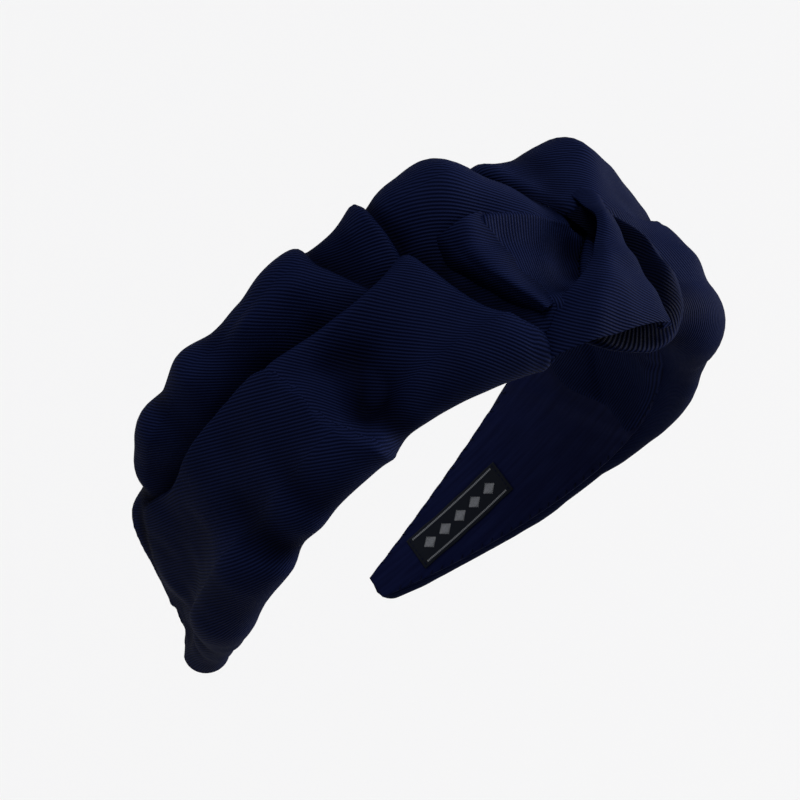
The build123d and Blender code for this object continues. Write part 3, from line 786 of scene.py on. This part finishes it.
def cloth_piece(name, points, faces, material, uv, painted_shade):
    """A piece of the twill with its thickness, and with painted shade at each point, which darkens its colour
    in the hollows.
    """
    piece = mesh_piece(name, points, faces.tolist(), material, uv)
    layer = piece.data.attributes.new("painted_hollow_shade", "FLOAT", "POINT")
    layer.data.foreach_set("value", painted_shade.astype(np.float32))
    return with_wall(piece, CLOTH_THICK)


cloth = twill()
strips = gathered_cloth(cloth)

bend_at_flex(strips["left"])
bend_at_flex(strips["right"])
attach(strips["left"], "crown")
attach(strips["right"], "crown")
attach(strips["knot"], "crown")
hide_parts("left_cloth_left_arm", "left_cloth_crown")
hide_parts("right_cloth_right_arm", "right_cloth_crown")
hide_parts("knot_loop")

# ---------------------------------------------------------------- lining, foam, label and sewing

LINING_THICK, LINING_LOW, LINING_PAST = 0.5, 0.05, 0.4
LINING_ROWS, LINING_COLUMNS = 240, 61
PUCKER_HIGH, PUCKER_IN = 0.16, 0.25  # small puckers along the sewn edges, over this share of the half width
SLACK_HIGH, SLACK_ALONG, SLACK_ACROSS = 0.14, 0.055, 0.11
BOW_HIGH, BOW_POWER = 0.25, 6
FOAM_LOW, FOAM_HIGH, FOAM_INSET = 2.95, 6.7, 1.7
FOAM_SHORT = 0.5  # of the tip
FOAM_ROWS, FOAM_AROUND = 120, 32
FOAM_SIDE_SOFT, FOAM_TOP_SOFT = 0.35, 0.45
TURN_IN_FROM, TURN_IN_TO = 12.0, 97.0  # where the knot's cloth is turned in over the lining of the right arm
TURN_IN_ROWS, TURN_IN_COLUMNS = 170, 90
TURN_IN_OUT = 0.9  # past the lining's edge, under the right strip
TURN_IN_LOW, TURN_IN_LEAST, TURN_IN_SWELL = 0.35, 0.2, 1.5
EDGE_STEEP = 5  # how soon the turned-in cloth swells from its sides
END_SLANT, END_WAVE, END_ROLL = 3.5, 2.2, 3.2  # of the turned-in cloth's own end
SEAM_RISE, END_RISE = 2.4, 0.5  # how far the turned-in cloth goes up between the layers, at its sides and end
LABEL_LONG, LABEL_WIDE, LABEL_THICK = 38.0, 11.0, 0.3
LABEL_UP = 35.0  # its middle, up from the tip
LABEL_MIDDLE = HALF_LENGTH - LABEL_UP
LABEL_ROWS, LABEL_COLUMNS = 90, 31
LABEL_HIGH, LABEL_LIFT, LABEL_CURL, LABEL_END = -0.48, 0.15, 0.18, 0.06
DIAMONDS, DIAMOND_PITCH, DIAMOND_WIDE = 5, 6.4, 4.6
DIAMOND_LINES, DIAMOND_LINE_PITCH = 5, 0.42  # threads on each side of a diamond's middle
BORDER_STEPS, BORDER_PITCH, BORDER_OUT, BORDER_LONG = 60, 0.57, 4.3, 0.7
MOTIF_HIGH, MOTIF_THREAD, MOTIF_THICK = -0.52, 0.5, 0.28
SEWING_IN, SEWING_COUNT, SEWING_PITCH, SEWING_LONG = 1.0, 6, 1.75, 1.3
SEWING_HIGH, SEWING_THREAD, SEWING_THICK = -0.5, 0.32, 0.3
HEM_FIRST, HEM_PITCH, HEM_TILT = 6.0, 3.6, radians(58)
HEM_IN, HEM_HIGH = 0.6, 0.02
STITCH_LONG, THREAD, THREAD_THICK = 1.7, 0.36, 0.5

# Drawn creases, each as where it is along the band, its slant, its width and its depth
LINING_CREASES = ((104, 0.55, 3.0, 0.5), (116, 0.8, 3.5, 0.35))
TURN_IN_CREASES = ((84, -0.9, 2.6, 1.2), (66, 0.5, 3.0, 0.9))

# The turned-in cloth's slow waves, each as its height, how fast it turns along and across, and its start
TURN_IN_WAVES = ((1.1, 0.075, 0.13, 0.0), (0.55, 0.19, -0.10, 1.0))


def creases(along, across, lines):
    """How deep the drawn creases are at each place."""
    return sum(deep * np.exp(-((along - at - slant * across) / wide) ** 2) for at, slant, wide, deep in lines)


def shares(rows, columns):
    """A grid of places from one edge of the band (-1) to the other (1)."""
    return np.linspace(-1, 1, columns)[None, :] * np.ones((rows, 1))


def grid_piece(name, along, across, high, material, thick):
    """A thin sheet over a grid of the band, whose shown side faces the head."""
    points = spot(along, across, high)
    quads = grid_faces(*along.shape)[:, [0, 3, 2, 1]]
    flat = np.stack([along.reshape(-1), across.reshape(-1)], -1)[quads]
    if along[-1, 0] < along[0, 0]:
        quads, flat = quads[:, ::-1], flat[:, ::-1]
    piece = mesh_piece(name, points.reshape(-1, 3), quads.tolist(), material, flat)
    return with_wall(piece, thick)


def lining(side, name, material):
    """Half of the ribbon that lines the hoop, from the top to one tip, with its slight puckers."""
    share = shares(LINING_ROWS, LINING_COLUMNS)
    down = np.linspace(0, HALF_LENGTH + LINING_PAST, LINING_ROWS)[:, None]
    along = side * down * np.ones((1, LINING_COLUMNS))
    across = share * half_at(along)
    near_edge = np.clip((np.abs(share) - (1 - PUCKER_IN)) / PUCKER_IN, 0, 1)
    pucker = PUCKER_HIGH * np.sin(along * 2 * pi / HEM_PITCH / 2) * near_edge**2
    wave = np.sin(along * SLACK_ALONG + across * SLACK_ACROSS)
    slack = SLACK_HIGH * wave * np.clip(1 - share**2, 0, 1)
    drawn = creases(along, across, LINING_CREASES) * (side > 0)
    high = pucker + slack - drawn + BOW_HIGH * share**BOW_POWER - LINING_LOW
    return grid_piece(name, along, across, high, material, LINING_THICK)


def turned_in(material):
    """The knot's cloth that is turned in over the top of the right arm's lining, with its rolled end."""
    share = shares(TURN_IN_ROWS, TURN_IN_COLUMNS)
    end = TURN_IN_TO + END_SLANT * share + END_WAVE * np.sin(share * 4 + 0.5)
    step = np.linspace(0, 1, TURN_IN_ROWS)[:, None]
    along = TURN_IN_FROM + (end - TURN_IN_FROM) * step
    across = share * (half_at(along) + TURN_IN_OUT)
    roll = np.sqrt(np.clip(1 - np.clip(1 - (end - along) / END_ROLL, 0, 1) ** 2, 0, 1))
    waves = (high * np.sin(along * a + across * c + start) for high, a, c, start in TURN_IN_WAVES)
    swell = sum(waves, TURN_IN_SWELL)
    edge = np.clip((1 - np.abs(share)) * EDGE_STEEP, 0, 1)
    proud = np.maximum(swell - creases(along, across, TURN_IN_CREASES), TURN_IN_LEAST) * np.sqrt(edge)
    high = -(TURN_IN_LOW + proud) * roll + END_RISE * (1 - roll) + SEAM_RISE * (1 - edge) ** 2
    return grid_piece("turned_in_cloth", along, across, high, material, CLOTH_THICK)


def foam(side, name, material):
    """Half of the foam pad, from the top to one tip: a soft-cornered strip that narrows."""
    around = np.linspace(0, 2 * pi, FOAM_AROUND + 1)[:-1]
    down = np.linspace(0, HALF_LENGTH - FOAM_SHORT, FOAM_ROWS)[:, None]
    along = side * down * np.ones((1, FOAM_AROUND))
    wide = half_at(along) - FOAM_INSET
    middle, deep = (FOAM_LOW + FOAM_HIGH) / 2, (FOAM_HIGH - FOAM_LOW) / 2
    soft_side = np.sign(np.cos(around)) * np.abs(np.cos(around)) ** FOAM_SIDE_SOFT
    soft_top = np.sign(np.sin(around)) * np.abs(np.sin(around)) ** FOAM_TOP_SOFT
    points = spot(along, wide * soft_side[None, :], middle + deep * soft_top[None, :]).reshape(-1, 3)
    corner = np.arange(FOAM_ROWS * FOAM_AROUND).reshape(FOAM_ROWS, FOAM_AROUND)
    ahead = np.roll(corner, -1, axis=1)
    quads = np.stack([corner[:-1], corner[1:], ahead[1:], ahead[:-1]], -1).reshape(-1, 4)
    ends = [corner[0], corner[-1][::-1]]
    if side > 0:
        quads = quads[:, ::-1]
        ends = [end[::-1] for end in ends]
    return mesh_piece(name, points, quads.tolist() + [end.tolist() for end in ends], material)


def band_turn(along, tilt):
    """The turn of a thread that lies on the inner face.

    Its x runs across the band, tilted, and its z points at the head.
    """
    here = spot(np.array(float(along)), 0.0, 0.0)
    inwards = here - spot(np.array(float(along)), 0.0, 1.0)
    across = np.array([0.0, 1.0, 0.0])
    down = np.cross(inwards, across)
    x = across * cos(tilt) + down * sin(tilt)
    y = np.cross(inwards, x)
    return Matrix((x, y, inwards)).transposed().to_euler()


def thread_tree(material):
    """The tree that lays a thread on each point, by the point's own turn and length."""
    tree = bpy.data.node_groups.new("laid_threads", "GeometryNodeTree")
    face = tree.interface
    face.new_socket("Geometry", in_out="INPUT", socket_type="NodeSocketGeometry")
    for name, value in (("Thread width", 0.0004), ("Thread height", 0.00025)):
        face.new_socket(name, in_out="INPUT", socket_type="NodeSocketFloat").default_value = value
    face.new_socket("Geometry", in_out="OUTPUT", socket_type="NodeSocketGeometry")
    given = add(tree, "NodeGroupInput")
    bead = add(tree, "GeometryNodeMeshUVSphere", {"Segments": 10, "Rings": 6, "Radius": 0.5})
    turn = add(tree, "GeometryNodeInputNamedAttribute", {"Name": "turn"}, data_type="FLOAT_VECTOR")
    long = add(tree, "GeometryNodeInputNamedAttribute", {"Name": "long"}, data_type="FLOAT")
    euler = add(tree, "FunctionNodeEulerToRotation", {"Euler": turn.outputs["Attribute"]})
    size = add(tree, "ShaderNodeCombineXYZ", {
        "X": long.outputs["Attribute"],
        "Y": given.outputs["Thread width"],
        "Z": given.outputs["Thread height"],
    })
    laid = add(tree, "GeometryNodeInstanceOnPoints", {
        "Points": given.outputs["Geometry"], "Instance": bead.outputs["Mesh"],
        "Rotation": euler.outputs["Rotation"], "Scale": size.outputs["Vector"],
    })
    real = add(tree, "GeometryNodeRealizeInstances", {"Geometry": laid.outputs["Instances"]})
    dressed = add(tree, "GeometryNodeSetMaterial", {
        "Geometry": real.outputs["Geometry"], "Material": material,
    })
    shaded = add(tree, "GeometryNodeSetShadeSmooth", {"Geometry": dressed.outputs["Geometry"]})
    add(tree, "NodeGroupOutput", {"Geometry": shaded.outputs["Geometry"]})
    return tree


def threads(name, laid, tree, width, height):
    """Threads as one plain mesh. laid lists each one's (along, across, high, tilt, length) in millimetres."""
    mesh = bpy.data.meshes.new(name)
    places = [spot(np.array(float(a)), c, h) * MM for a, c, h, _, _ in laid]
    mesh.from_pydata([p.tolist() for p in places], [], [])
    mesh.attributes.new("turn", "FLOAT_VECTOR", "POINT")
    mesh.attributes.new("long", "FLOAT", "POINT")
    for number, (a, _, _, tilt, long) in enumerate(laid):
        mesh.attributes["turn"].data[number].vector = band_turn(a, tilt)
        mesh.attributes["long"].data[number].value = long * MM
    piece = bpy.data.objects.new(name, mesh)
    bpy.context.scene.collection.objects.link(piece)
    sewing = piece.modifiers.new("sewing", "NODES")
    sewing.node_group = tree
    for item in tree.interface.items_tree:
        if item.in_out == "INPUT" and item.name in ("Thread width", "Thread height"):
            sewing[item.identifier] = (width if item.name == "Thread width" else height) * MM
    return finish_modifiers(piece)


def hem_threads(side, name, tree):
    """Slip stitches over both edges of half of the lining."""
    laid = []
    for step in range(int((HALF_LENGTH - HEM_FIRST) / HEM_PITCH)):
        along = side * (HALF_LENGTH - HEM_FIRST - step * HEM_PITCH)
        across = float(half_at(along)) - HEM_IN
        for edge in (-1, 1):
            laid.append((along, edge * across, HEM_HIGH, edge * HEM_TILT * side, STITCH_LONG))
    return threads(name, laid, tree, THREAD, THREAD_THICK)


def label(material):
    """The woven label, its long sides a little soft and its corners lifting slightly."""
    share = shares(LABEL_ROWS, LABEL_COLUMNS)
    place = np.linspace(-0.5, 0.5, LABEL_ROWS)[:, None] * LABEL_LONG * np.ones((1, LABEL_COLUMNS))
    along = LABEL_MIDDLE + place
    wave = 0.12 * np.sin(along * 0.9) * np.clip(np.abs(share) - 0.6, 0, 1)
    across = share * LABEL_WIDE / 2 + 0.1 * np.sin(along * 0.5) * np.abs(share) ** 8
    from_middle = np.abs(along - LABEL_MIDDLE) / (LABEL_LONG / 2)
    end = np.clip(from_middle - (1 - LABEL_END), 0, 1) / LABEL_END
    high = LABEL_HIGH + wave + LABEL_CURL * np.abs(share) ** 10 + LABEL_LIFT * end**2
    return grid_piece("woven_label", along, across, high, material, LABEL_THICK)


def label_motif(tree):
    """A row of small diamonds, each laid in threads across the label, between two plain borders."""
    laid = []
    for number in range(DIAMONDS):
        centre = LABEL_MIDDLE + (number - (DIAMONDS - 1) / 2) * DIAMOND_PITCH
        for line in range(-DIAMOND_LINES, DIAMOND_LINES + 1):
            long = DIAMOND_WIDE * (1 - abs(line) / (DIAMOND_LINES + 1))
            laid.append((centre + line * DIAMOND_LINE_PITCH, 0.0, MOTIF_HIGH, 0.0, long))
    for edge in (-1, 1):
        for step in range(BORDER_STEPS):
            along = LABEL_MIDDLE + (step - (BORDER_STEPS - 1) / 2) * BORDER_PITCH
            laid.append((along, edge * BORDER_OUT, MOTIF_HIGH, 0.0, BORDER_LONG))
    return threads("label_motif", laid, tree, MOTIF_THREAD, MOTIF_THICK)


def label_sewing(tree):
    """Small stitches that hold the label's short ends."""
    laid = []
    for end in (-1, 1):
        along = LABEL_MIDDLE + end * (LABEL_LONG / 2 - SEWING_IN)
        for count in range(SEWING_COUNT):
            across = (count - (SEWING_COUNT - 1) / 2) * SEWING_PITCH
            laid.append((along, across, SEWING_HIGH, 0.0, SEWING_LONG))
    return threads("label_sewing", laid, tree, SEWING_THREAD, SEWING_THICK)


def label_weave():
    """The label's dark ground: a close plain weave."""
    material = new_material(
        "label_weave", (0.012, 0.014, 0.020), 0.7, Specular_IOR_Level=0.1, Sheen_Weight=0.01,
    )
    tree = material.node_tree
    shader = tree.nodes["Principled BSDF"]
    place = add(tree, "ShaderNodeUVMap", uv_map="cloth").outputs["UV"]
    long, wide = (
        add(tree, "ShaderNodeTexWave", {
            "Vector": place, "Scale": scale, "Distortion": 0.5,
        }, bands_direction=way)
        for scale, way in ((1.1, "X"), (0.9, "Y"))
    )
    both = add(tree, "ShaderNodeMath", {0: long.outputs["Fac"], 1: wide.outputs["Fac"]}, operation="MULTIPLY")
    colour = ramp(tree, both.outputs[0], [(0.0, (0.006, 0.008, 0.014)), (1.0, (0.021, 0.025, 0.036))])
    tree.links.new(colour, shader.inputs["Base Color"])
    relief = add(tree, "ShaderNodeBump", {"Height": both.outputs[0], "Strength": 0.6, "Distance": 0.0001})
    tree.links.new(relief.outputs["Normal"], shader.inputs["Normal"])
    return material


def yarn(name, colour, darker):
    """Twisted thread: a fine unevenness along it."""
    return grained(name, colour, darker, 0.6, 2600.0, 0.00008, gloss=0.08)


ribbon = satin()
linings = {-1: lining(-1, "lining_left", ribbon), 1: lining(1, "lining_right", ribbon)}
foam_skin = grained("foam_skin", (0.72, 0.70, 0.63), (0.60, 0.58, 0.52), 0.9, 2200.0, 0.0002)
pads = {-1: foam(-1, "foam_left", foam_skin), 1: foam(1, "foam_right", foam_skin)}
turned = turned_in(cloth)
navy_thread = yarn("navy_thread", (0.0045, 0.0070, 0.030), (0.0025, 0.0040, 0.018))
pale_yarn = yarn("pale_yarn", (0.34, 0.35, 0.37), (0.20, 0.21, 0.23))
navy_tree, pale_tree = thread_tree(navy_thread), thread_tree(pale_yarn)
hems = {-1: hem_threads(-1, "hem_threads_left", navy_tree), 1: hem_threads(1, "hem_threads_right", navy_tree)}
tag = label(label_weave())
motif, tag_sewing = label_motif(pale_tree), label_sewing(navy_tree)

for side, body, word in ((-1, "left_arm", "left"), (1, "right_arm", "right")):
    for piece in (linings[side], pads[side], hems[side]):
        bend_at_flex(piece)
        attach(piece, "crown")
    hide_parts(f"lining_{body}", "lining_crown")
    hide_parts(f"foam_{body}", "foam_crown")
    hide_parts(f"hem_stitches_{body}", "hem_stitches_crown")
bend_at_flex(turned)
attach(turned, "crown")
for piece, name in ((tag, "label"), (motif, "label"), (tag_sewing, "thread")):
    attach(piece, "right_arm")
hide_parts("label")
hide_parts("label_stitches")

hoop_plastic = grained("hoop_plastic", (0.035, 0.035, 0.04), (0.022, 0.022, 0.026), 0.35, 700.0, 0.00005)
tape_film = grained("tape_film", (0.62, 0.60, 0.52), (0.52, 0.50, 0.43), 0.45, 1500.0, 0.00004)
for name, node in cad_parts.items():
    node.data.materials.clear()
    node.data.materials.append(tape_film if name.startswith("lining_tape") else hoop_plastic)

# ---------------------------------------------------------------- camera, light and backdrop

FLOOR_HALF, FLOOR_Z = 60000.0, -420.0  # in millimetres
PAPER_SEEN, PAPER_LIT = (0.94, 0.935, 0.93), (0.38, 0.38, 0.39)
SKY, SKY_STRENGTH = (0.90, 0.93, 1.0, 1), 0.15

# Each light's name, where it comes from, how broad it is and how strong
LIGHTS = (
    ("left_light", (-0.30, 0.35, 1.1), radians(35), 1.35),
    ("right_light", (1.0, -0.3, 0.55), radians(35), 3.0),
)

# The camera's lens, its place in metres, and which way its right, its up and its back point
LENS, SENSOR = 85.2, 36.0
CAMERA_PLACE = (-0.3579, -0.2041, 0.2522)
CAMERA_RIGHT = (0.71697, -0.53884, 0.44228)
CAMERA_UP = (0.14367, 0.73504, 0.66263)
CAMERA_BACK = (-0.68214, -0.41154, 0.60441)


def studio():
    """A pale seamless floor, a pale sky, and two broad soft lights."""
    scene = bpy.context.scene
    scene.view_settings.view_transform = "Standard"
    world = bpy.data.worlds.new("studio")
    scene.world = world
    world.use_nodes = True
    sky = world.node_tree.nodes["Background"]
    sky.inputs["Color"].default_value = SKY
    sky.inputs["Strength"].default_value = SKY_STRENGTH
    corners = [(x * FLOOR_HALF, y * FLOOR_HALF, FLOOR_Z) for x, y in ((-1, -1), (1, -1), (1, 1), (-1, 1))]
    floor = mesh_piece("floor", corners, [(0, 1, 2, 3)], backdrop_paper())
    for name, place, spread, power in LIGHTS:
        light = bpy.data.lights.new(name, "SUN")
        light.angle, light.energy = spread, power
        lamp = bpy.data.objects.new(name, light)
        scene.collection.objects.link(lamp)
        lamp.location = place
        lamp.rotation_euler = Vector([-c for c in place]).to_track_quat("-Z", "Y").to_euler()


def backdrop_paper():
    """Pale matt paper that throws little light back up at the band, as one that is far away does."""
    paper = new_material("backdrop_paper", PAPER_SEEN, 0.9)
    tree = paper.node_tree
    seen = add(tree, "ShaderNodeLightPath").outputs["Is Camera Ray"]
    tone = add(tree, "ShaderNodeMix", data_type="RGBA")
    tree.links.new(seen, tone.inputs["Factor"])
    tone.inputs["A"].default_value = (*PAPER_LIT, 1)
    tone.inputs["B"].default_value = (*PAPER_SEEN, 1)
    tree.links.new(tone.outputs["Result"], tree.nodes["Principled BSDF"].inputs["Base Color"])
    return paper


def camera():
    """A long lens, above and in front of the left arm, turned a little on its side."""
    lens = bpy.data.cameras.new("camera")
    lens.lens, lens.sensor_width = LENS, SENSOR
    view = bpy.data.objects.new("camera", lens)
    columns = (CAMERA_RIGHT, CAMERA_UP, CAMERA_BACK, CAMERA_PLACE)
    view.matrix_world = Matrix([*zip(*columns), (0, 0, 0, 1)])
    bpy.context.scene.collection.objects.link(view)
    bpy.context.scene.camera = view


studio()
camera()
